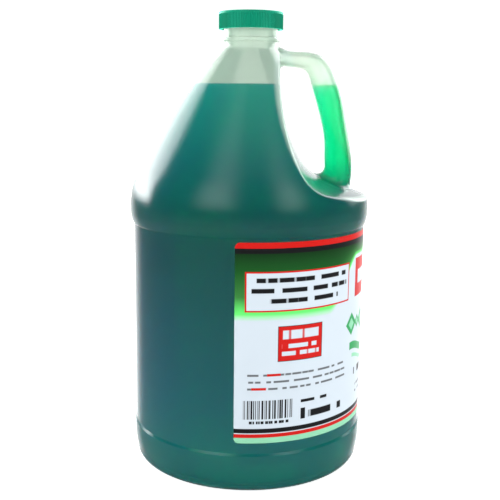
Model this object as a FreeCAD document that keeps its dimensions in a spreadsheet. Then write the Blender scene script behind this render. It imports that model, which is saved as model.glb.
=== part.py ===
"""One gallon dish soap jug: a blown bottle with a hollow side handle, its soap, a screw cap and a label.

Millimetres and degrees, +Z up. The origin is the centre of the base, on the surface the jug
stands on, and the handle lies towards +X.
"""
import FreeCAD, Part
import Sketcher
import math
import os

from FreeCAD import Placement, Rotation, Vector

doc = FreeCAD.newDocument("dish_soap_jug")
sheet = doc.addObject("Spreadsheet::Sheet", "dims")

SIZES = {
    # The blown wall
    "wall": 0.9,
    # Label panel
    "panel_radius": 76.2,
    "panel_height": 132.8,
    # Base: a foot ring round a push-up
    "push_up_height": 8.0,
    "push_up_slope": 11.0,
    "push_up_round": 6.0,
    "foot_width": 14.6,
    "foot_round": 3.0,
    "heel_round": 6.5,
    # Lower bumper: how far its heel lies in from the panel, and its top out from it
    "heel_in": 0.6,
    "heel_height": 7.0,
    "bumper_out": 0.7,
    "bumper_height": 24.8,
    "bumper_step": 1.6,
    "bumper_bow": 64.0,
    # Upper bumper: a small step, then a bow out to its widest ring
    "ring_step": 0.9,
    "ring_out": 2.3,
    "ring_rise": 6.6,
    "ring_bow": 18.0,
    # Shoulder dome and cone
    "dome_radius": 51.8,
    "cone_bow": 432.0,
    "shoulder_height": 106.8,
    # Neck, its bead and the finish that the cap screws on
    "finish_radius": 17.55,
    "finish_height": 19.5,
    "finish_wall": 2.25,
    "neck_in": 0.55,
    "neck_round": 4.0,
    "bead_out": 1.05,
    "bead_rise": 3.0,
    "bead_thick": 2.8,
    "bead_round": 0.9,
    # Finger pocket: its wall and floor at the middle plane, and how far it opens to the sides
    "pocket_neck_gap": 1.9,
    "pocket_neck_drop": 16.6,
    "pocket_elbow_in": 26.2,
    "pocket_elbow_rise": 37.2,
    "pocket_floor_in": 6.8,
    "pocket_floor_rise": 20.9,
    "pocket_overrun": 5.5,
    "pocket_flare_out": 4.4,
    "pocket_flare_down": 9.0,
    "pocket_lip_round": 2.5,
    # Hollow handle: an arm out of the neck, a corner, and a grip down to the shoulder
    "arm_width": 18.0,
    "arm_thick": 10.6,
    "arm_rise": 7.0,
    "arm_depth": 8.98,
    "corner_radius": 14.0,
    "grip_width": 22.0,
    "grip_thick": 16.6,
    "grip_foot_in": 19.7,
    "grip_foot_rise": 21.6,
    "grip_bow": 190.0,
    "grip_turn": 21.0,
    "grip_depth": 16.0,
    "foot_root_round": 5.0,
    "arm_root_round": 3.0,
    # Soap
    "headspace": 42.9,
    # Screw cap and its foam liner
    "thread_room": 1.4,
    "cap_wall": 1.8,
    "cap_height": 10.8,
    "cap_top_thick": 1.3,
    "cap_top_round": 0.9,
    "cap_rim_height": 1.6,
    "rib_count": 120,
    "rib_depth": 0.45,
    "liner_thick": 1.0,
    "liner_gap": 0.55,
    # Wrap label on the panel
    "label_foot": 6.9,
    "label_head": 1.8,
    "label_angle": 192.0,
    "label_thick": 0.15,
    "label_gap": 0.02,
    "label_corner": 3.0,
}

# Radii and heights that follow from the sizes, from the foot up and then out to the cap and label
LINKED = {
    "heel_radius": "panel_radius - heel_in",
    "foot_inner_radius": "heel_radius - foot_width",
    "push_up_radius": "foot_inner_radius - push_up_slope",
    "bumper_radius": "panel_radius + bumper_out",
    "panel_bottom": "bumper_height + bumper_step",
    "panel_top": "panel_bottom + panel_height",
    "ring_radius": "panel_radius + ring_out",
    "ring_height": "panel_top + ring_rise",
    "cone_top": "ring_height + shoulder_height",
    "neck_radius": "finish_radius - neck_in",
    "bead_radius": "finish_radius + bead_out",
    "bead_bottom": "cone_top + bead_rise",
    "finish_top": "cone_top + finish_height",
    "bore_radius": "finish_radius - finish_wall",
    "grip_foot_x": "ring_radius - grip_foot_in",
    "grip_foot_z": "ring_height + grip_foot_rise",
    "arm_end_x": "neck_radius - arm_depth",
    "pocket_neck_x": "neck_radius + pocket_neck_gap",
    "pocket_neck_z": "cone_top - pocket_neck_drop",
    "pocket_elbow_x": "grip_foot_x - pocket_elbow_in",
    "pocket_elbow_z": "ring_height + pocket_elbow_rise",
    "pocket_floor_x": "grip_foot_x - pocket_floor_in",
    "pocket_floor_z": "ring_height + pocket_floor_rise",
    "pocket_half_width": "ring_radius + pocket_overrun",
    "fill_height": "finish_top - headspace",
    "cap_bore_radius": "finish_radius + thread_room",
    "cap_radius": "cap_bore_radius + cap_wall",
    "liner_radius": "cap_bore_radius - liner_gap",
    "label_bottom": "panel_bottom + label_foot",
    "label_top": "panel_top - label_head",
}

cells = list(SIZES.items()) + [(alias, "=" + formula) for alias, formula in LINKED.items()]
for row, (alias, content) in enumerate(cells, start=1):
    sheet.set("A%d" % row, alias)
    sheet.setAlias("B%d" % row, alias)
for row, (alias, content) in enumerate(cells, start=1):
    sheet.set("B%d" % row, str(content))
doc.recompute()

# Turns a flat shape so that its own Y runs up the jug and its face looks along -Y
UPRIGHT = Rotation(Vector(1, 0, 0), 90)
# How far a cutting form reaches past what it cuts
OVERRUN = 12.0


def size(alias):
    """The number in one cell of the sheet."""
    return float(getattr(sheet, alias))


def bind(thing, **formulas):
    """Bind properties of an object to formulas on the sheet's cells."""
    for name, formula in formulas.items():
        thing.setExpression(name.replace("__", "."), formula)
    return thing


# Outlines: each corner is (name, x, z, bow), with x and z as formulas. A corner whose bow is a
# formula starts an arc of that radius, bulging away from the inside, and None starts a line.
# An outline runs with its inside on its left. A formula that starts with "about" is only where
# the solver begins, and the tangents settle it.

def arc_between(first, last, radius):
    """An arc from first to last that turns left."""
    chord = last - first
    half = chord.Length / 2
    rise = math.sqrt(max(radius * radius - half * half, 0.0))
    left = Vector(-chord.y, chord.x, 0).normalize()
    middle = (first + last) / 2 + left * rise
    start = math.atan2(first.y - middle.y, first.x - middle.x)
    stop = math.atan2(last.y - middle.y, last.x - middle.x)
    circle = Part.Circle(middle, Vector(0, 0, 1), radius)
    return Part.ArcOfCircle(circle, start, stop)


def hold(sketch, curve, corner):
    """Hold the start of a curve at its corner's place on the sheet."""
    name, x, z, bow = corner
    for kind, formula, axis, letter in (("DistanceX", x, -2, "x"), ("DistanceY", z, -1, "z")):
        if formula == "0":
            sketch.addConstraint(Sketcher.Constraint("PointOnObject", curve, 1, axis))
            continue
        if formula.startswith("about "):
            continue
        number = float(sketch.evalExpression(formula))
        index = sketch.addConstraint(Sketcher.Constraint(kind, -1, 1, curve, 1, number))
        label = "%s_%s" % (name, letter)
        sketch.renameConstraint(index, label)
        sketch.setExpression("Constraints." + label, formula)


def draw(sketch, corners, tangent=()):
    """Draw a closed outline, held by its corners and radii, smooth at the corners named tangent."""
    count = len(corners)
    points = []
    for name, x, z, bow in corners:
        spot = [float(sketch.evalExpression(text.replace("about ", ""))) for text in (x, z)]
        points.append(Vector(spot[0], spot[1], 0))
    for index, (name, x, z, bow) in enumerate(corners):
        first = points[index]
        last = points[(index + 1) % count]
        if bow is None:
            sketch.addGeometry(Part.LineSegment(first, last), False)
        else:
            guess = bow.replace("about ", "")
            sketch.addGeometry(arc_between(first, last, float(sketch.evalExpression(guess))), False)
    for index in range(count):
        following = (index + 1) % count
        if corners[following][0] not in tangent:
            sketch.addConstraint(Sketcher.Constraint("Coincident", index, 2, following, 1))
        else:
            sketch.addConstraint(Sketcher.Constraint("Tangent", index, 2, following, 1))
    for index, corner in enumerate(corners):
        hold(sketch, index, corner)
        name, x, z, bow = corner
        if bow is not None and not bow.startswith("about "):
            radius = float(sketch.evalExpression(bow))
            place = sketch.addConstraint(Sketcher.Constraint("Radius", index, radius))
            sketch.renameConstraint(place, name + "_bow")
            sketch.setExpression("Constraints.%s_bow" % name, bow)


def origin_plane(body, role):
    """One of a body's own origin planes."""
    return next(item for item in body.Origin.OriginFeatures if item.Role == role)


def turned_body(name, corners, tangent=()):
    """A body turned round Z from an outline."""
    body = doc.addObject("PartDesign::Body", name)
    sketch = body.newObject("Sketcher::SketchObject", name + "_outline")
    sketch.AttachmentSupport = (origin_plane(body, "XZ_Plane"), [""])
    sketch.MapMode = "FlatFace"
    draw(sketch, corners, tangent)
    doc.recompute()
    turn = body.newObject("PartDesign::Revolution", name + "_turn")
    turn.Profile = sketch
    turn.ReferenceAxis = (sketch, ["V_Axis"])
    turn.Angle = 360
    doc.recompute()
    return body


def round_rings(body, name, radius, rings):
    """Round the circular edges of a turned body that lie at the given radii and heights."""
    base = body.Tip
    found = []
    for number, edge in enumerate(base.Shape.Edges, start=1):
        if not isinstance(edge.Curve, Part.Circle):
            continue
        for ring_x, ring_z in rings:
            near_x = abs(edge.Curve.Radius - float(sheet.evalExpression(ring_x))) < 0.01
            near_z = abs(edge.Curve.Center.z - float(sheet.evalExpression(ring_z))) < 0.01
            if near_x and near_z and abs(edge.Curve.Axis.z) > 0.99:
                found.append("Edge%d" % number)
    fillet = body.newObject("PartDesign::Fillet", name)
    fillet.Base = (base, found)
    fillet.setExpression("Radius", radius)
    doc.recompute()
    return fillet


# The jug's turned form, outside and inside

def wall_corners(inset, first, last):
    """The corners that the outer and the inner form share, from the foot to the foot of the neck."""
    return first + [
        ("heel", "dims.heel_radius - " + inset, "dims.heel_height", "dims.bumper_bow"),
        ("bumper", "dims.bumper_radius - " + inset, "dims.bumper_height", None),
        ("panel_low", "dims.panel_radius - " + inset, "dims.panel_bottom", None),
        ("panel_high", "dims.panel_radius - " + inset, "dims.panel_top", None),
        ("ring_low", "dims.panel_radius + dims.ring_step - " + inset,
         "dims.panel_top + dims.ring_step", "dims.ring_bow"),
        ("ring", "dims.ring_radius - " + inset, "dims.ring_height", "dims.dome_radius - " + inset),
        ("dome_end",
         "about dims.ring_radius - dims.dome_radius / 9 - " + inset,
         "about dims.ring_height + dims.dome_radius / 2.2", "dims.cone_bow"),
    ] + last


outer_corners = wall_corners(
    "0",
    [
        ("middle", "0", "dims.push_up_height", None),
        ("push_up", "dims.push_up_radius", "dims.push_up_height", None),
        ("foot_in", "dims.foot_inner_radius", "0", None),
        ("foot_out", "dims.heel_radius", "0", None),
    ],
    [
        ("neck_foot", "dims.neck_radius", "dims.cone_top", None),
        ("bead_under", "dims.neck_radius", "dims.bead_bottom", None),
        ("bead_low", "dims.bead_radius", "dims.bead_bottom", None),
        ("bead_high", "dims.bead_radius", "dims.bead_bottom + dims.bead_thick", None),
        ("finish_low", "dims.finish_radius", "dims.bead_bottom + dims.bead_thick", None),
        ("finish_high", "dims.finish_radius", "dims.finish_top", None),
        ("top", "0", "dims.finish_top", None),
    ],
)
inner_corners = wall_corners(
    "dims.wall",
    [
        ("middle", "0", "dims.push_up_height + dims.wall", None),
        ("push_up", "dims.push_up_radius", "dims.push_up_height + dims.wall", None),
        ("foot_in", "dims.foot_inner_radius", "dims.wall", None),
        ("foot_out", "dims.heel_radius - dims.wall", "dims.wall", None),
    ],
    [
        ("bore_low", "dims.bore_radius", "dims.cone_top", None),
        ("bore_high", "dims.bore_radius", "dims.finish_top + %g" % OVERRUN, None),
        ("top", "0", "dims.finish_top + %g" % OVERRUN, None),
    ],
)

outer_turned = turned_body("outer_turned", outer_corners, tangent=("ring", "dome_end"))
round_rings(outer_turned, "heel_rounding", "dims.heel_round", [("dims.heel_radius", "0")])
round_rings(outer_turned, "foot_rounding", "dims.foot_round", [("dims.foot_inner_radius", "0")])
round_rings(outer_turned, "push_up_rounding", "dims.push_up_round",
            [("dims.push_up_radius", "dims.push_up_height")])
round_rings(outer_turned, "neck_rounding", "dims.neck_round", [("dims.neck_radius", "dims.cone_top")])
round_rings(outer_turned, "bead_rounding", "dims.bead_round",
            [("dims.bead_radius", "dims.bead_bottom"),
             ("dims.bead_radius", "dims.bead_bottom + dims.bead_thick")])

inner_turned = turned_body("inner_turned", inner_corners, tangent=("ring", "dome_end"))
round_rings(inner_turned, "heel_rounding_in", "dims.heel_round - dims.wall",
            [("dims.heel_radius - dims.wall", "dims.wall")])
round_rings(inner_turned, "push_up_rounding_in", "dims.push_up_round + dims.wall",
            [("dims.push_up_radius", "dims.push_up_height + dims.wall")])

# The finger pocket: one curve for its wall and floor, opening to both sides from the middle plane

def pocket_tool(name, inset):
    """What the mould's two inserts take out of the turned form, grown by inset for the inside."""
    corners = [
        ("top_in", "dims.pocket_neck_x", "dims.finish_top", None),
        ("neck", "dims.pocket_neck_x", "dims.pocket_neck_z",
         "about (dims.pocket_neck_z - dims.pocket_elbow_z) ^ 2"
         " / (2 * (dims.pocket_elbow_x - dims.pocket_neck_x))"),
        ("elbow", "dims.pocket_elbow_x", "dims.pocket_elbow_z",
         "about dims.pocket_floor_x - dims.pocket_elbow_x + dims.pocket_elbow_z - dims.pocket_floor_z"),
        ("floor", "dims.pocket_floor_x", "dims.pocket_floor_z", None),
        ("end", "dims.ring_radius + %g" % OVERRUN,
         "about dims.pocket_floor_z - dims.ring_radius / 6", None),
        ("top_out", "dims.ring_radius + %g" % OVERRUN, "dims.finish_top", None),
    ]
    sections = []
    for side, place in (("near", -1), ("middle", 0), ("far", 1)):
        sketch = doc.addObject("Sketcher::SketchObject", "%s_%s" % (name, side))
        sketch.Placement = Placement(Vector(0, 0, 0), UPRIGHT)
        draw(sketch, corners, tangent=("neck", "elbow", "floor"))
        bind(sketch,
             Placement__Base__x="%d * dims.pocket_flare_out - %s" % (-abs(place), inset),
             Placement__Base__y="%d * dims.pocket_half_width" % place,
             Placement__Base__z="%d * dims.pocket_flare_down - %s" % (-abs(place), inset))
        sections.append(sketch)
    loft = doc.addObject("Part::Loft", name)
    loft.Sections = sections
    loft.Solid = True
    doc.recompute()
    return loft


# The handle: ellipses along an arm, a corner and a grip, lofted. Each station has its place
# along one of the three stretches, and its share of the way from arm size to grip size.

GRIP_X = "dims.grip_foot_x - dims.grip_bow * (1 - cos({turn}))"
GRIP_Z = "dims.grip_foot_z + dims.grip_bow * sin({turn})"
CORNER_X = ("dims.grip_foot_x - dims.grip_bow * (1 - cos(dims.grip_turn))"
            " + dims.corner_radius * (cos({turn}) - cos(dims.grip_turn))")
CORNER_Z = ("dims.grip_foot_z + dims.grip_bow * sin(dims.grip_turn)"
            " + dims.corner_radius * (sin({turn}) - sin(dims.grip_turn))")

STATIONS = [
    ("arm", 1.0, 0.0),
    ("arm", 0.5, 0.0),
    ("corner", 1.0, 0.1),
    ("corner", 0.65, 0.45),
    ("corner", 0.3, 0.85),
    ("grip", 1.0, 0.97),
    ("grip", 0.66, 1.0),
    ("grip", 0.33, 1.0),
    ("grip", 0.0, 1.0),
    ("foot", 1.0, 1.0),
]


def station_place(stretch, share):
    """Where a station's middle lies, and how far its section leans back from level."""
    if stretch == "foot":
        return "dims.grip_foot_x", "dims.grip_foot_z - dims.grip_depth", "0"
    if stretch == "grip":
        turn = "dims.grip_turn * %g" % share
        return GRIP_X.format(turn=turn), GRIP_Z.format(turn=turn), turn
    full = "(90 - dims.arm_rise)"
    if stretch == "corner":
        turn = "(dims.grip_turn + (%s - dims.grip_turn) * %g)" % (full, share)
        return CORNER_X.format(turn=turn), CORNER_Z.format(turn=turn), turn
    corner_x = CORNER_X.format(turn=full)
    reach = "(%s - dims.arm_end_x) * %g" % (corner_x, share)
    x = corner_x + " - " + reach
    z = CORNER_Z.format(turn=full) + " + " + reach + " * tan(dims.arm_rise)"
    return x, z, full


def handle_form(name, inset):
    """The handle's outside, or its inside when inset by the wall."""
    sections = []
    for number, (stretch, share, blend) in enumerate(STATIONS, start=1):
        ring = doc.addObject("Part::Ellipse", "%s_%d" % (name, number))
        x, z, lean = station_place(stretch, share)
        bind(ring,
             MajorRadius="(dims.arm_width + (dims.grip_width - dims.arm_width) * %g) / 2 - %s"
             % (blend, inset),
             MinorRadius="(dims.arm_thick + (dims.grip_thick - dims.arm_thick) * %g) / 2 - %s"
             % (blend, inset),
             Placement="create(<<placement>>; create(<<vector>>; %s; 0; %s); "
             "create(<<rotation>>; 90; 0; -(%s)))" % (x, z, lean))
        sections.append(ring)
    loft = doc.addObject("Part::Loft", name)
    loft.Sections = sections
    loft.Solid = True
    loft.MaxDegree = 3
    doc.recompute()
    return loft


def joined(kind, name, base, tool):
    """A two-piece boolean."""
    result = doc.addObject("Part::" + kind, name)
    result.Base = base
    result.Tool = tool
    doc.recompute()
    return result


def meeting_edges(result, first, second):
    """The edges of a boolean's result where the skins of two forms cross."""
    found = []
    for number, edge in enumerate(result.Shape.Edges, start=1):
        spots = edge.discretize(5)[1:-1]
        skins = (first.Shape, second.Shape)
        if all(skin.distToShape(Part.Vertex(spot))[0] < 0.01 for skin in skins for spot in spots):
            if all(not skin.isInside(spot, 0.01, False) for skin in skins for spot in spots):
                found.append((number, edge))
    return found


def rounded(name, base, edges, radius):
    """Round some edges of a part."""
    result = doc.addObject("Part::Fillet", name)
    result.Base = base
    result.Edges = [(number, radius, radius) for number, edge in edges]
    doc.recompute()
    return result


# The outside: turned, pocketed, its lips rounded, then the handle with rounded roots
pocket = pocket_tool("pocket", "0")
handle = handle_form("handle", "0")
outer_pocketed = joined("Cut", "outer_pocketed", outer_turned, pocket)
outer_lipped = rounded("outer_lipped", outer_pocketed,
                       meeting_edges(outer_pocketed, outer_turned, pocket), size("pocket_lip_round"))
outer_handled = joined("Fuse", "outer_handled", outer_lipped, handle)
arm_edges = [(number, edge) for number, edge in meeting_edges(outer_handled, outer_lipped, handle)
             if edge.BoundBox.ZMin > size("grip_foot_z") + size("grip_depth")]
outer_arm_root = rounded("outer_arm_root", outer_handled, arm_edges, size("arm_root_round"))
foot_edges = [(number, edge) for number, edge in meeting_edges(outer_arm_root, outer_lipped, handle)
              if edge.BoundBox.ZMax < size("grip_foot_z") + size("grip_depth")]
outer_form = rounded("outer_form", outer_arm_root, foot_edges, size("foot_root_round"))

# The inside, one wall within the outside
pocket_in = pocket_tool("pocket_in", "dims.wall")
handle_in = handle_form("handle_in", "dims.wall")
inner_pocketed = joined("Cut", "inner_pocketed", inner_turned, pocket_in)
inner_form = joined("Fuse", "inner_form", inner_pocketed, handle_in)

# The jug is its outside less its inside, and the soap fills the inside up to its level
jug = joined("Cut", "jug", outer_form, inner_form)

filled = bind(doc.addObject("Part::Cylinder", "filled"),
              Radius="dims.ring_radius", Height="dims.fill_height")
soap = joined("Common", "soap_liquid", inner_form, filled)

# Screw cap: a ribbed skirt under a plain rim, with a rounded top, over a plain inside
CAP_BOTTOM = "dims.finish_top + dims.liner_thick + dims.cap_top_thick - dims.cap_height"

cap_blank = bind(doc.addObject("Part::Cylinder", "cap_blank"),
                 Radius="dims.cap_radius", Height="dims.cap_height", Placement__Base__z=CAP_BOTTOM)
doc.recompute()
top_rings = [(number, edge) for number, edge in enumerate(cap_blank.Shape.Edges, start=1)
             if isinstance(edge.Curve, Part.Circle) and edge.BoundBox.ZMin > size("finish_top")]
cap_envelope = rounded("cap_envelope", cap_blank, top_rings, size("cap_top_round"))


def ribbed_skirt():
    """A prism with a ridge for each rib, as high as the skirt."""
    steps = 2 * int(size("rib_count"))
    low = float(sheet.evalExpression(CAP_BOTTOM))
    points = []
    for step in range(steps):
        radius = size("cap_radius") - (step % 2) * size("rib_depth")
        turn = math.pi * 2 * step / steps
        points.append(Vector(radius * math.cos(turn), radius * math.sin(turn), low))
    face = Part.Face(Part.makePolygon(points + points[:1]))
    return face.extrude(Vector(0, 0, size("cap_height") - size("cap_rim_height")))


skirt = doc.addObject("Part::Feature", "ribbed_skirt")
skirt.Shape = ribbed_skirt()
rim = bind(doc.addObject("Part::Cylinder", "cap_rim"),
           Radius="dims.cap_radius - dims.rib_depth / 2", Height="dims.cap_rim_height",
           Placement__Base__z=CAP_BOTTOM + " + dims.cap_height - dims.cap_rim_height")
cap_solid = joined("Fuse", "cap_solid", skirt, rim)
cap_shaped = joined("Common", "cap_shaped", cap_solid, cap_envelope)
cap_inside = bind(doc.addObject("Part::Cylinder", "cap_inside"),
                  Radius="dims.cap_bore_radius", Height="dims.cap_height - dims.cap_top_thick",
                  Placement__Base__z=CAP_BOTTOM)
cap = joined("Cut", "cap", cap_shaped, cap_inside)

# The foam liner lies on the rim of the neck, under the cap's top
liner = bind(doc.addObject("Part::Cylinder", "cap_liner"),
             Radius="dims.liner_radius", Height="dims.liner_thick",
             Placement__Base__z="dims.finish_top")

# The label goes round the handle side of the panel, with rounded corners
label = doc.addObject("PartDesign::Body", "label")
strip = label.newObject("Sketcher::SketchObject", "label_strip")
strip.AttachmentSupport = (origin_plane(label, "XZ_Plane"), [""])
strip.MapMode = "FlatFace"
LABEL_IN = "dims.panel_radius + dims.label_gap"
LABEL_OUT = LABEL_IN + " + dims.label_thick"
draw(strip, [
    ("low_in", LABEL_IN, "dims.label_bottom", None),
    ("low_out", LABEL_OUT, "dims.label_bottom", None),
    ("high_out", LABEL_OUT, "dims.label_top", None),
    ("high_in", LABEL_IN, "dims.label_top", None),
])
doc.recompute()
wrap = label.newObject("PartDesign::Revolution", "label_wrap")
wrap.Profile = strip
wrap.ReferenceAxis = (strip, ["V_Axis"])
wrap.setExpression("Angle", "dims.label_angle")
wrap.Midplane = True
doc.recompute()
corner_edges = ["Edge%d" % number for number, edge in enumerate(wrap.Shape.Edges, start=1)
                if edge.Length < 2 * size("label_thick")]
corners = label.newObject("PartDesign::Fillet", "label_corners")
corners.Base = (wrap, corner_edges)
corners.setExpression("Radius", "dims.label_corner")
doc.recompute()

SUBPARTS = {"jug": jug, "soap_liquid": soap, "cap": cap, "cap_liner": liner, "label": label}
for node, thing in SUBPARTS.items():
    thing.Label = node

doc.recompute()
faults = [thing.Name for thing in doc.Objects if "Invalid" in thing.State or "Error" in thing.State]
for node, thing in SUBPARTS.items():
    shape = thing.Shape
    if shape.isNull() or not shape.isValid() or not shape.Solids:
        faults.append(node)
if faults:
    raise RuntimeError("not built: " + ", ".join(sorted(set(faults))))

os.makedirs("parts", exist_ok=True)
for node, thing in SUBPARTS.items():
    thing.Shape.exportStep("parts/%s.step" % node)
    box = thing.Shape.BoundBox
    print("%-12s %d solid, %9.0f mm3, x %.1f to %.1f, y %.1f to %.1f, z %.1f to %.1f" % (
        node, len(thing.Shape.Solids), thing.Shape.Volume,
        box.XMin, box.XMax, box.YMin, box.YMax, box.ZMin, box.ZMax))
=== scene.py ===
# %% [markdown]
# # A gallon jug of dish soap
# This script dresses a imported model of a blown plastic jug: a round body with a hollow side
# handle, green soap inside, a ribbed screw cap and a wrap label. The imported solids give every
# size and place. Each step below says what the real piece or finish is, how it could be made
# in Blender, and why one way was chosen.

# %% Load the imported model
import math

import bpy
from mathutils import Euler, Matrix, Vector


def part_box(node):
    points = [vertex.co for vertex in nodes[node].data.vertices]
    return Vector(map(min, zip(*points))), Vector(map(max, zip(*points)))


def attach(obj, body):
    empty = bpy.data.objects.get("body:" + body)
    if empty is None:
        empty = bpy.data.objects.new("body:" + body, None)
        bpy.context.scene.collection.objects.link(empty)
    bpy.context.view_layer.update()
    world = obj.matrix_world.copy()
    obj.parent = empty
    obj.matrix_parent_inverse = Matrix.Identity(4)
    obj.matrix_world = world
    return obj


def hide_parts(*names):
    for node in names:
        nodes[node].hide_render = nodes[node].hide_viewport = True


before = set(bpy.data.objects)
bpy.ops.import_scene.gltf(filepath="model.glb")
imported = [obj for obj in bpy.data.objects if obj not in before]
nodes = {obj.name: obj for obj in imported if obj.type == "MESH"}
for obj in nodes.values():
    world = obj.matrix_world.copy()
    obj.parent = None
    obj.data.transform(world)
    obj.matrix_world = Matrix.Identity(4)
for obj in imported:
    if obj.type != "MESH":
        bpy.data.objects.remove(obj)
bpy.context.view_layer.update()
for leftover in ("Cube", "Light", "Camera"):
    if leftover in bpy.data.objects:
        bpy.data.objects.remove(bpy.data.objects[leftover])
bpy.ops.object.select_all(action="DESELECT")

MM = 0.001
print("nodes:", sorted(nodes))


def high(node):
    """The height of a node's highest point, in millimetres."""
    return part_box(node)[1].z / MM


FILL = high("soap_liquid")
NECK_TOP = high("jug")
print("soap level at", round(FILL, 1), "mm, neck top at", round(NECK_TOP, 1), "mm")

# %% [markdown]
# ## Camera
# A product photograph is taken with a fairly long lens a little above the middle of the
# object, looking slightly down. The camera's place, tilt and small roll were worked out from
# how the rings of the jug bow in the picture.

# %% Place the camera
PICTURE_WIDE = 500
FOCAL_PIXELS = 862.8
SENSOR = 36.0

camera_data = bpy.data.cameras.new("view")
camera = bpy.data.objects.new("view", camera_data)
bpy.context.collection.objects.link(camera)
camera_data.sensor_width = SENSOR
camera_data.lens = SENSOR * FOCAL_PIXELS / PICTURE_WIDE
camera_data.clip_start = 0.01
tilt = Euler((math.radians(79.68), 0, 0)).to_matrix()
roll = Euler((0, 0, math.radians(0.607))).to_matrix()
camera.matrix_world = (tilt @ roll).to_4x4()
camera.location = Vector((0.000864, -0.57233, 0.24346))
bpy.context.scene.camera = camera
print("lens", round(camera_data.lens, 2), "mm")

# %% [markdown]
# ## Writing nodes as sums
# A procedural finish is mostly arithmetic on the place of each point, and a studio's light is
# arithmetic on direction. A small class lets a node's output be added, multiplied and compared
# like a number, so that a pattern reads as a sum.

# %% The shader helper
class Value:
    """One node output that can be used in sums."""

    def __init__(self, finish, socket):
        self.finish = finish
        self.socket = socket

    def sum(self, operation, *others, clamp=False):
        settings = {"operation": operation, "use_clamp": clamp}
        inputs = dict(enumerate((self,) + others))
        return self.finish.node("ShaderNodeMath", settings, inputs)

    def __add__(self, other):
        return self.sum("ADD", other)

    __radd__ = __add__

    def __mul__(self, other):
        return self.sum("MULTIPLY", other)

    __rmul__ = __mul__

    def __sub__(self, other):
        return self.sum("SUBTRACT", other)

    def __rsub__(self, other):
        return (self * -1) + other

    def __abs__(self):
        return self.sum("ABSOLUTE")

    def above(self, edge, soft):
        """0 well below the edge, 1 well above it, and a ramp as wide as soft."""
        return ((self - edge) * (1 / soft)).sum("ADD", 0.5, clamp=True)

    def below(self, edge, soft):
        """1 well below the edge and 0 well above it."""
        return ((self - edge) * (-1 / soft)).sum("ADD", 0.5, clamp=True)

    def between(self, first, last, soft):
        """1 between two edges and 0 outside them."""
        return self.above(first, soft) * self.below(last, soft)


class Nodes:
    """A node tree that is being written."""

    def __init__(self, tree):
        self.tree = tree
        self.tree.nodes.clear()

    def parts(self, vector):
        """The three parts of a vector."""
        split = self.node("ShaderNodeSeparateXYZ", inputs={0: vector}).socket.node
        return [Value(self, out) for out in split.outputs]

    def node(self, kind, settings=None, inputs=None, output=0):
        """Add a node with its settings first, then the values or links of its sockets."""
        made = self.tree.nodes.new(kind)
        for name, setting in (settings or {}).items():
            if name == "stops":
                self.set_stops(made.color_ramp, setting)
            else:
                setattr(made, name, setting)
        for name, value in (inputs or {}).items():
            if isinstance(value, Value):
                self.tree.links.new(value.socket, made.inputs[name])
            else:
                made.inputs[name].default_value = value
        return Value(self, made.outputs[output])

    def set_stops(self, ramp, stops):
        """The places and colours of a ramp."""
        while len(ramp.elements) < len(stops):
            ramp.elements.new(1.0)
        for element, (place, colour) in zip(ramp.elements, stops):
            element.position = place
            element.color = colour

    def ramp(self, value, first, last, start, end, smooth=True):
        """A ramp from start to end as a value goes from first to last."""
        settings = {"interpolation_type": "SMOOTHSTEP" if smooth else "LINEAR"}
        return self.node("ShaderNodeMapRange", settings, {
            "Value": value, "From Min": first, "From Max": last, "To Min": start, "To Max": end})

    def blend(self, mask, first, second):
        """Two colours mixed by a mask."""
        settings = {"data_type": "RGBA", "clamp_factor": True}
        node = self.node("ShaderNodeMix", settings).socket.node
        for name, value in (("Factor", mask), ("A", first), ("B", second)):
            socket = next(s for s in node.inputs if s.name == name and s.enabled)
            if isinstance(value, Value):
                self.tree.links.new(value.socket, socket)
            else:
                socket.default_value = value
        return Value(self, next(s for s in node.outputs if s.enabled))


class Finish(Nodes):
    """A material that is being written."""

    def __init__(self, name):
        self.material = bpy.data.materials.new(name)
        self.material.use_nodes = True
        super().__init__(self.material.node_tree)
        self.place = self.node("ShaderNodeTexCoord", output="Object")
        self.x, self.y, self.z = [part * (1 / MM) for part in self.parts(self.place)]

    def curve(self, value, points, most):
        """A value read off a line through points, for results from 0 to most."""
        first, last = points[0][0], points[-1][0]
        stops = [((at - first) / (last - first), (result / most,) * 3 + (1.0,)) for at, result in points]
        place = (value - first) * (1 / (last - first))
        return self.node("ShaderNodeValToRGB", {"stops": stops}, {"Fac": place}) * most

    def noise(self, scale, detail=2.0):
        """Soft random values with features about 1 / scale metres wide."""
        return self.node("ShaderNodeTexNoise", None,
                         {"Vector": self.place, "Scale": scale, "Detail": detail})

    def chance(self, along):
        """Random values that change as a number grows by about one."""
        return self.node("ShaderNodeTexNoise", {"noise_dimensions": "1D"},
                         {"W": along, "Scale": 1.0, "Detail": 0.0})

    def bump(self, height, distance, strength=1.0):
        """A normal that follows a height."""
        inputs = {"Height": height, "Distance": distance, "Strength": strength}
        return self.node("ShaderNodeBump", None, inputs, output="Normal")

    def plastic(self, colour, roughness, normal=None, **more):
        """The usual shader for a solid surface."""
        inputs = {"Base Color": colour, "Roughness": roughness}
        if normal is not None:
            inputs["Normal"] = normal
        inputs.update(more)
        return self.node("ShaderNodeBsdfPrincipled", None, inputs)

    def mix(self, mask, first, second):
        """Two shaders mixed by a mask."""
        return self.node("ShaderNodeMixShader", None, {0: mask, 1: first, 2: second})

    def done(self, surface=None, volume=None):
        """Join the shaders to the output."""
        last = self.tree.nodes.new("ShaderNodeOutputMaterial")
        if surface is not None:
            self.tree.links.new(surface.socket, last.inputs["Surface"])
        if volume is not None:
            self.tree.links.new(volume.socket, last.inputs["Volume"])
        return self.material


def colour(red, green, blue):
    """A colour from screen values of 0 to 255."""
    parts = []
    for part in (red, green, blue):
        part = part / 255
        parts.append(part / 12.92 if part <= 0.04045 else ((part + 0.055) / 1.055) ** 2.4)
    return (*parts, 1.0)


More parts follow.
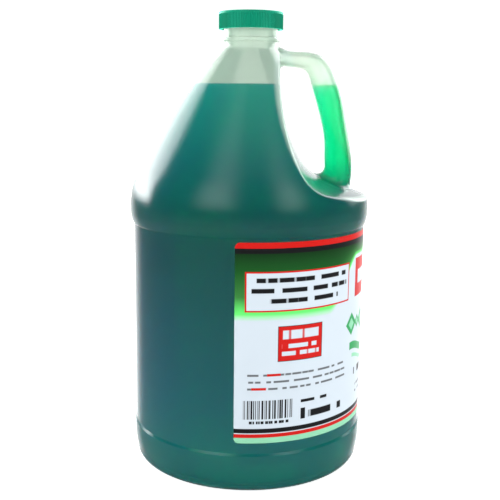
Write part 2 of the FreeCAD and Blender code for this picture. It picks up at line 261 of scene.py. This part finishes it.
def dress(piece, *materials):
    """Give a piece its finishes, in the order of its faces' numbers."""
    piece.data.materials.clear()
    for material in materials:
        piece.data.materials.append(material)


# %% [markdown]
# ## Floor and light
# The jug stands in a white studio. A flat floor shows no horizon when it is as bright as the
# world behind it. What a glossy jug shows is the studio round it, so the world is painted by
# direction: a dim room in front, a pale backdrop behind, two tall soft boxes in front and a
# large white card on each side at the back. Lamps that gloss doesn't see light the body.

# %% Studio floor
bpy.ops.mesh.primitive_circle_add(vertices=64, radius=6, fill_type="NGON", location=(0, 0, 0))
floor = bpy.context.object
floor.name = "studio_floor"
floor.visible_glossy = False

# %% Studio world
world = bpy.data.worlds.new("studio")
bpy.context.scene.world = world
world.use_nodes = True
studio = Nodes(world.node_tree)
east, north, up = studio.parts(studio.node("ShaderNodeTexCoord", output="Generated"))
DEGREES = 180 / math.pi
around = north.sum("ARCTAN2", east) * DEGREES
rise = up.sum("ARCSINE") * DEGREES


def sky_patch(left, right, soft, bottom, top, soft_up, strength):
    """A lit part of the studio between two azimuths and two elevations, in degrees."""
    return around.between(left, right, soft) * rise.between(bottom, top, soft_up) * strength


backdrop = studio.ramp(north, 0.60, 0.95, 0.10, 1.3)
floor_glow = studio.ramp(up, 0.0, -0.30, 0.0, 0.32) * studio.ramp(up, -0.45, -0.8, 1.0, 0.2)
ceiling = studio.ramp(up, 0.70, 0.92, 0.0, 0.38)
low_side = studio.ramp(rise, 4, 36, 1.5, 0.6)
left_card = sky_patch(98, 161, 8, 1.5, 38, 8, studio.ramp(around, 104, 150, 0.45, 7.2) * low_side)
right_card = sky_patch(20, 64, 8, 2, 50, 8, 4.4)
left_box = sky_patch(-140, -106, 20, 8, 76, 14, studio.ramp(rise, 26, 70, 1.9, 0.5))
right_box = sky_patch(-62, -37, 16, 6, 62, 14, studio.ramp(rise, 26, 64, 1.7, 0.4))
rays = studio.node("ShaderNodeLightPath", output="Is Camera Ray")
glossy = Value(studio, rays.socket.node.outputs["Is Glossy Ray"])
lit = backdrop + floor_glow + ceiling + (left_card + right_card + left_box + right_box) * glossy
strength = rays * 1.1 + (1 - rays) * lit
glow = studio.node("ShaderNodeBackground", None, {"Color": (1, 1, 1, 1), "Strength": strength})
studio.tree.links.new(glow.socket, studio.tree.nodes.new("ShaderNodeOutputWorld").inputs["Surface"])
bpy.context.scene.view_settings.view_transform = "Standard"
bpy.context.scene.cycles.transparent_max_bounces = 32

# %% Lamps for the body
MIDDLE = Vector((0, 0, 0.15))


def soft_lamp(name, azimuth, elevation, distance, wide, tall, brightness):
    """An area lamp that looks at the jug and isn't seen in its gloss."""
    lamp = bpy.data.lights.new(name, "AREA")
    lamp.shape = "RECTANGLE"
    lamp.size = wide
    lamp.size_y = tall
    lamp.energy = brightness * math.pi * wide * tall
    holder = bpy.data.objects.new(name, lamp)
    bpy.context.collection.objects.link(holder)
    az, el = math.radians(azimuth), math.radians(elevation)
    aim = Vector((math.cos(az) * math.cos(el), math.sin(az) * math.cos(el), math.sin(el)))
    holder.location = MIDDLE + aim * distance
    holder.rotation_euler = aim.to_track_quat("Z", "Y").to_euler()
    holder.visible_camera = False
    holder.visible_glossy = False


soft_lamp("left_front", -119, 36, 1.5, 0.6, 1.1, 3.4)
soft_lamp("right_front", -50, 30, 1.5, 0.5, 0.9, 2.6)
soft_lamp("front_fill", -90, 40, 1.5, 2.0, 1.2, 0.4)
soft_lamp("left_side", 172, 12, 1.3, 0.7, 1.1, 4.0)
soft_lamp("right_side", 8, 12, 1.3, 0.7, 1.1, 3.2)
soft_lamp("top_light", -90, 85, 1.6, 1.2, 1.2, 0.6)
soft_lamp("back_light", 90, 20, 1.4, 3.4, 2.0, 4.4)

# %% Studio floor finish
paper = Finish("studio_paper")
dress(floor, paper.done(paper.plastic(
    colour(248, 248, 248), 0.9,
    **{"Emission Color": colour(255, 255, 255), "Emission Strength": 0.8})))

# %% [markdown]
# ## Jug plastic
# Natural polyethylene is milky. Light goes through it and is spread on the way, so the jug
# looks like frosted film with soap behind it. True scattering inside the wall would be slow
# and noisy here. Instead the wall's outer skin mixes a soft opaque share, a translucent share
# that lets spread light through, and a small clear share, with gloss over all three. Where
# the soap wets the wall it takes up the soap's teal, and above the level it stays pale. That
# teal is painted lighter and darker by height, a painted light and shade: lighter towards the
# level and darker round the upper bumper. Over the handle it is painted bright green, a painted
# glow for the back light shining through, and a painted highlight runs along the pocket's rim.

# %% Jug plastic
# Height and distance from the axis, in millimetres, along the pocket's lip and up the cone.
POCKET_LIP = ((176, 76.0), (180, 64.0), (184, 52.5), (186, 47.5), (188, 43.5), (192, 38.3),
              (196, 35.0), (204, 30.0), (212, 26.5), (224, 22.5), (236, 19.8), (248, 18.6), (264, 18.5))
CONE = ((176, 78.3), (184, 76.7), (188, 75.35), (200, 69.3), (224, 54.5), (248, 37.3), (264, 24.5))
HANDLE_LEAN = 0.28
RIM_HIGHLIGHT = colour(222, 250, 240)


def jug_plastic(name):
    """The blown wall's outer skin, with a painted highlight along the rim where the finger pocket meets
    the cone.
    """
    wall = Finish(name)
    wet = wall.z.below(FILL, 0.8)
    leaning = wall.x + (wall.z - 250) * HANDLE_LEAN
    handle = leaning.above(31, 4) * wall.z.above(192, 20) * abs(wall.y).below(24, 8)
    grip = handle * wet
    pocket = wall.curve(wall.z, POCKET_LIP, 100)
    cone = wall.curve(wall.z, CONE, 100)
    radius = (wall.x * wall.x + wall.y * wall.y).sum("SQRT")
    # The rim mask places a painted highlight: a pale band where the pocket's lip catches light.
    rim = (wall.x - pocket).above(-3.6, 2.4) * (radius - cone).above(-3.0, 2.0) * wall.z.above(177, 2)
    cloud = wall.noise(28.0, 3.0)
    pale = wall.blend(handle, wall.blend(cloud, colour(196, 226, 208), colour(190, 220, 202)),
                      colour(196, 206, 186))
    # Painted light and shade by height: the wet teal is lighter towards the level and darker round the
    # upper bumper.
    height_light_and_shade = wall.node("ShaderNodeValToRGB", {"stops": [
        (0.0, (0.0, 0.11, 0.13, 1)), (0.12, (0.0, 0.14, 0.197, 1)),
        (0.25, (0.0, 0.11, 0.182, 1)), (0.60, (0.0, 0.059, 0.103, 1)),
        (0.70, (0.0, 0.088, 0.112, 1)), (0.80, (0.004, 0.165, 0.205, 1)),
        (1.0, (0.007, 0.385, 0.36, 1))]}, {"Fac": wall.z * (1 / FILL)})
    # Painted glow: the handle's wet wall is painted bright green for the back light shining through the
    # thin soap.
    glowing_grip_and_shade = wall.blend(grip, height_light_and_shade, (0.0, 0.95, 0.50, 1))
    # Random clouds are laid over the painted glow and shade.
    cloudy_glow_and_shade = wall.blend(cloud * 0.12, glowing_grip_and_shade, (0.0, 0.10, 0.12, 1))
    tint = wall.blend(rim * 0.9, wall.blend(wet, pale, cloudy_glow_and_shade), RIM_HIGHLIGHT)
    grain = wall.noise(900.0, 2.0)
    seam = abs(wall.y).below(0.16, 0.14)
    normal = wall.bump(grain * 0.05 + seam, 0.12 * MM, 0.6)
    rough = wall.noise(60.0, 2.0) * 0.06 + 0.15
    skin = wall.plastic(tint, 1.0, normal, **{"Specular IOR Level": 0.0})
    spread = wall.node("ShaderNodeBsdfTranslucent", None, {"Color": colour(248, 252, 238)})
    share = wet * -0.05 + 0.55 - handle * 0.20 - grip * 0.26
    milky = wall.mix(share, spread, skin)
    clear = wall.node("ShaderNodeBsdfTransparent", None, {"Color": colour(250, 253, 250)})
    body = wall.mix(0.88 + wet * 0.04 - grip * 0.04, clear, milky)
    mirror = wall.node("ShaderNodeBsdfAnisotropic", None,
                       {"Color": (1, 1, 1, 1), "Roughness": rough, "Normal": normal})
    edge = wall.node("ShaderNodeFresnel", None, {"IOR": 1.5, "Normal": normal})
    return wall.done(wall.mix(edge, body, mirror))


jug_outside = jug_plastic("jug_outside")

inner = Finish("jug_inside")
jug_inside = inner.done(inner.node("ShaderNodeBsdfTransparent", None, {"Color": (1, 1, 1, 1)}))

# %% [markdown]
# ## The jug's wall
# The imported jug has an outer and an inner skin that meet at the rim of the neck. Its shape is
# right, so a copy of its mesh is used, and the copy's inner skin gets its own clear finish:
# with soap against it, the inside of the wall hardly shines.

# %% Jug wall
RIM_DEPTH = 0.2 * MM


def copy_of(node, name):
    """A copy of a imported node's mesh as a new piece."""
    piece = nodes[node].copy()
    piece.data = nodes[node].data.copy()
    piece.name = name
    for key in list(piece.keys()):
        del piece[key]
    piece.parent = None
    bpy.context.collection.objects.link(piece)
    return piece


def inner_faces(mesh, rim_height):
    """The numbers of the faces that aren't reached from the lowest face without crossing the rim."""
    spots = {}
    groups = []
    for vertex in mesh.vertices:
        key = tuple(round(value * 1e6) for value in vertex.co)
        groups.append(spots.setdefault(key, len(spots)))
    by_spot = {}
    flat = []
    for face in mesh.polygons:
        on_rim = face.center.z > rim_height - RIM_DEPTH and face.normal.z > 0.9
        flat.append(on_rim)
        if not on_rim:
            for index in face.vertices:
                by_spot.setdefault(groups[index], []).append(face.index)
    start = min((face for face in mesh.polygons if not flat[face.index]),
                key=lambda face: face.center.z).index
    outer = {start}
    queue = [start]
    while queue:
        face = mesh.polygons[queue.pop()]
        for index in face.vertices:
            for other in by_spot.get(groups[index], ()):
                if other not in outer:
                    outer.add(other)
                    queue.append(other)
    return [face.index for face in mesh.polygons if face.index not in outer and not flat[face.index]]


jug_wall = copy_of("jug", "jug_wall")
dress(jug_wall, jug_outside, jug_inside)
inside = inner_faces(jug_wall.data, NECK_TOP * MM)
for face in jug_wall.data.polygons:
    face.material_index = 0
for number in inside:
    jug_wall.data.polygons[number].material_index = 1
print("jug faces", len(jug_wall.data.polygons), "of which inside", len(inside))
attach(jug_wall, "bottle")
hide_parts("jug")

# %% [markdown]
# ## Screw threads
# The neck has a raised right-hand thread of about one and a third turns, and the cap has one
# inside that runs in its gaps. A bump could only shade them, and they show as steps on the
# neck's edge when the cap is off. So each is a small ridge section swept by a Screw modifier,
# which is applied. Both ends run out into the wall, as a mould cuts them.

# %% Screw threads
LIFT_A_RADIAN = 0.00067373
LEAD = LIFT_A_RADIAN * 2 * math.pi / MM
print("thread lead", round(LEAD, 3), "mm a turn")


def thread(name, root, crest, start_height, start_angle, turns):
    """A ridge that climbs round the axis from a root radius to a crest radius."""
    bpy.ops.object.select_all(action="DESELECT")
    bpy.ops.mesh.primitive_plane_add(size=1, location=(0, 0, 0))
    ridge = bpy.context.object
    ridge.name = name
    corners = ((root, -1.0), (crest, -0.5), (root, 1.0), (crest, 0.5))
    for vertex, (radius, height) in zip(ridge.data.vertices, corners):
        vertex.co = (radius * MM, 0, (start_height + height) * MM)
    bpy.ops.object.mode_set(mode="EDIT")
    bpy.ops.mesh.select_all(action="SELECT")
    bpy.ops.mesh.delete(type="ONLY_FACE")
    bpy.ops.object.mode_set(mode="OBJECT")
    steps = round(72 * turns)
    screw = ridge.modifiers.new("climb", "SCREW")
    screw.angle = 2 * math.pi * turns
    screw.screw_offset = LEAD * MM * turns
    screw.steps = screw.render_steps = steps
    bpy.ops.object.modifier_apply(modifier=screw.name)
    for vertex in ridge.data.vertices:
        radius = math.hypot(vertex.co.x, vertex.co.y)
        along = (math.atan2(vertex.co.y, vertex.co.x) % (2 * math.pi)) / (2 * math.pi)
        middle = (vertex.co.z / MM - start_height) / LEAD
        passed = round(middle - along) + along
        run_out = max(0.03, min(1.0, passed * 12, (turns - passed) * 12))
        new = root * MM + (radius - root * MM) * run_out
        vertex.co.x *= new / radius
        vertex.co.y *= new / radius
    bpy.ops.object.mode_set(mode="EDIT")
    bpy.ops.mesh.select_all(action="SELECT")
    bpy.ops.mesh.fill_holes(sides=8)
    bpy.ops.mesh.select_all(action="SELECT")
    bpy.ops.mesh.normals_make_consistent(inside=False)
    turned = math.radians(start_angle)
    bpy.ops.transform.rotate(value=-turned, orient_axis="Z", center_override=(0, 0, 0))
    bpy.ops.object.mode_set(mode="OBJECT")
    bpy.ops.object.shade_smooth_by_angle(angle=math.radians(30))
    print(name, len(ridge.data.polygons), "faces")
    return ridge


neck_thread = thread("neck_thread", 17.45, 18.7, 285.2, 0, 1.35)
dress(neck_thread, jug_outside)
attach(neck_thread, "bottle")
cap_thread = thread("cap_thread", 19.05, 17.9, 285.2 + LEAD * 133 / 360 - LEAD / 2, 133, 0.875)

# %% [markdown]
# ## Soap
# Dish soap is clear and strongly dyed. A coloured surface would look the same in the thin
# handle and in the thick body. A volume that takes up red at once, blue soon and green last
# gives the bright spring green of the one and the dark teal of the other from one finish,
# helped by the wall's painted glow over the handle and painted shade by height over the body.
# Only the level itself shines.

# %% Soap
soap = Finish("green_soap")
level = soap.z.above(FILL - 0.3, 0.2)
see = soap.node("ShaderNodeBsdfTransparent", None, {"Color": (1, 1, 1, 1)})
shine = soap.plastic(colour(20, 120, 100), 0.12)
dye = soap.node("ShaderNodeVolumeAbsorption", None, {"Color": (0.0, 0.95, 0.82, 1), "Density": 330.0})
dress(nodes["soap_liquid"], soap.done(soap.mix(level * 0.35, see, shine), dye))

# %% [markdown]
# ## Cap and its liner
# The cap is moulded polypropylene, dyed right through, with a satin surface. Its ribs are in
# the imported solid, so it only needs a finish. A plain green would look like card: a sheen
# gives the brighter edges that light makes in such plastic, and a fine bump its grain. The
# liner is white foam, matt and pitted.

# %% Cap finish
lid = Finish("cap_green")
rough = lid.noise(400.0, 2.0) * 0.1 + 0.34
dress(nodes["cap"], lid.done(lid.plastic(
    (0.0, 0.20, 0.11, 1), rough, lid.bump(lid.noise(1500.0, 2.0), 0.04 * MM, 0.5),
    **{"Specular IOR Level": 0.2, "Sheen Weight": 1.0, "Sheen Roughness": 0.5,
       "Sheen Tint": (0.05, 1.0, 0.7, 1)})))

dress(cap_thread, nodes["cap"].data.materials[0])
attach(cap_thread, "closure")

foam = Finish("liner_foam")
dress(nodes["cap_liner"], foam.done(foam.plastic(
    colour(238, 238, 232), 0.8, foam.bump(foam.noise(2500.0, 3.0), 0.1 * MM))))

# %% [markdown]
# ## Label
# The label is a printed film that goes a little over half way round the panel. Its print
# could be pictures or pieces of mesh. Here it is sums on the distance round the panel and the
# height, in millimetres: fields of colour first, then plain bars, lozenges and waves on top.
# They stay sharp from any distance, and each is moved by changing a number.

# %% Label print helpers
LABEL_RADIUS = 76.37
ink = Finish("label_print")
across = ink.y.sum("ARCTAN2", ink.x) * LABEL_RADIUS
up = ink.z
CRISP = 0.25


def patch(left, right, bottom, top, soft=CRISP):
    """1 inside a rectangle on the label, in millimetres round and up."""
    return across.between(left, right, soft) * up.between(bottom, top, soft)


def bars(left, right, bottom, rows, pitch, thick, length, seed):
    """Rows of plain bars of changing length."""
    steps = (up - bottom) * (1 / pitch)
    half = thick / pitch / 2
    in_row = steps.sum("FRACT").between(0.5 - half, 0.5 + half, 0.06)
    along = across * (1 / length) + steps.sum("FLOOR") * 7.3 + seed
    pieces = ink.chance(along).above(0.42, CRISP / length)
    return patch(left, right, bottom, bottom + rows * pitch) * in_row * pieces


def lozenge(middle, height, radius):
    """1 inside a square that stands on its corner."""
    return (abs(across - middle) + abs(up - height)).below(radius, CRISP)


# %% Label print, fields of colour
sheet = colour(190, 201, 210)
dark = colour(18, 19, 21)
red = colour(190, 8, 0)
leaf = colour(40, 150, 84)
mint = colour(132, 196, 160)
grey = colour(96, 100, 104)
sweep = ink.ramp(abs(across), 34.0, 66.0, 143.0, 110.0)
fade = ink.ramp(up, sweep, 151.0, 0.0, 1.0, smooth=False)
tone = ink.node("ShaderNodeValToRGB", {"stops": [
    (0.0, sheet), (0.10, colour(95, 225, 105)), (0.35, colour(48, 118, 50)),
    (0.72, colour(14, 80, 26)), (1.0, colour(9, 50, 16))]}, {"Fac": fade})
tone = ink.blend(up.above(150.7, CRISP), tone, dark)
tone = ink.blend(up.above(153.9, CRISP), tone, red)
tone = ink.blend(up.below(42.6, CRISP), tone, dark)
tone = ink.blend(up.below(39.8, CRISP), tone, sheet)
tone = ink.blend(up.below(39.2, CRISP), tone, red)
tone = ink.blend(up.below(36.8, CRISP), tone, mint)

# %% Label print, the side seen beside the handle
tone = ink.blend(patch(-121.9, -45.5, 115.5, 140.0), tone, red)
tone = ink.blend(patch(-120.9, -46.5, 116.5, 139.0), tone, sheet)
tone = ink.blend(bars(-118.0, -49.0, 125.2, 2, 6.3, 2.8, 7.0, 3.0), tone, dark)
tone = ink.blend(bars(-107.0, -58.0, 118.9, 1, 6.3, 2.8, 7.0, 11.0), tone, dark)
tone = ink.blend(patch(-101.6, -71.1, 84.5, 106.5), tone, dark)
tone = ink.blend(patch(-101.2, -71.5, 84.9, 106.1), tone, red)
tone = ink.blend(bars(-98.5, -74.0, 97.0, 1, 8.0, 5.4, 9.0, 5.2), tone, sheet)
tone = ink.blend(bars(-99.0, -73.5, 87.0, 2, 4.6, 2.6, 6.0, 8.4), tone, sheet)
tone = ink.blend(bars(-120.0, -48.0, 65.6, 3, 4.3, 1.3, 4.5, 1.7), tone, grey)
tone = ink.blend(patch(-108.0, -99.5, 75.6, 77.2), tone, red)
tone = ink.blend(patch(-117.5, -108.5, 67.0, 68.6), tone, red)
stripes = ink.chance(across * 0.9 + 4.0).above(0.50, 0.08)
tone = ink.blend(patch(-122.4, -91.2, 48.6, 60.5) * stripes, tone, dark)
tone = ink.blend(patch(-119.0, -94.0, 45.6, 47.4) * ink.chance(across * 0.7).above(0.42, 0.1), tone, dark)
tone = ink.blend(bars(-85.9, -66.0, 56.4, 1, 3.6, 1.9, 7.0, 2.0), tone, dark)
tone = ink.blend(patch(-85.9, -82.7, 46.6, 53.6), tone, dark)
tone = ink.blend(bars(-80.5, -52.0, 46.2, 1, 6.4, 4.4, 9.0, 6.1), tone, dark)

# %% Label print, the front
tone = ink.blend(patch(-37.0, 37.0, 115.0, 142.0), tone, sheet)
tone = ink.blend(patch(-36.0, 36.0, 116.0, 141.0), tone, red)
tone = ink.blend(bars(-31.0, 31.0, 121.5, 1, 14.0, 9.0, 16.0, 9.0), tone, sheet)
swell = up - (across * 0.12).sum("SINE") * 3.0
tone = ink.blend(swell.between(79.0, 84.0, CRISP) * patch(-42.0, 42.0, 70.0, 90.0), tone, leaf)
tone = ink.blend(swell.between(73.5, 76.0, CRISP) * patch(-38.0, 38.0, 70.0, 90.0), tone, mint)
for number in range(9):
    middle = -40.0 + 10.0 * number
    tone = ink.blend(lozenge(middle, 99.0, 7.5 - 3.0 * (number % 2)), tone, leaf)
    tone = ink.blend(lozenge(middle, 99.0, 4.0 - 1.6 * (number % 2)), tone, mint)
tone = ink.blend(bars(-34.0, 34.0, 62.0, 1, 8.0, 4.6, 14.0, 4.4), tone, dark)
tone = ink.blend(bars(-30.0, 30.0, 49.0, 2, 4.6, 1.6, 6.0, 7.7), tone, grey)

# %% Label print, the far side
tone = ink.blend(patch(45.5, 121.9, 128.5, 140.0), tone, red)
tone = ink.blend(patch(46.5, 120.9, 129.5, 139.0), tone, sheet)
tone = ink.blend(bars(52.0, 116.0, 131.1, 1, 6.3, 3.4, 9.0, 14.0), tone, dark)
tone = ink.blend(bars(48.0, 120.0, 76.0, 8, 4.3, 1.3, 4.5, 21.7), tone, grey)
tone = ink.blend(patch(47.5, 120.0, 46.0, 70.5), tone, red)
tone = ink.blend(patch(48.3, 119.2, 46.8, 69.7), tone, sheet)
tone = ink.blend(bars(51.0, 100.0, 62.6, 1, 6.0, 2.6, 7.0, 31.0), tone, red)
tone = ink.blend(bars(51.0, 117.0, 48.6, 3, 4.3, 1.3, 4.5, 27.0), tone, dark)
dress(nodes["label"], ink.done(ink.plastic(tone, 0.3, **{"Specular IOR Level": 0.2})))

# %% [markdown]
# ## Finish
# Each imported node is printed as shown or replaced.

# %% Finish
for node, thing in nodes.items():
    print(node, "shown" if not thing.hide_render else "replaced")
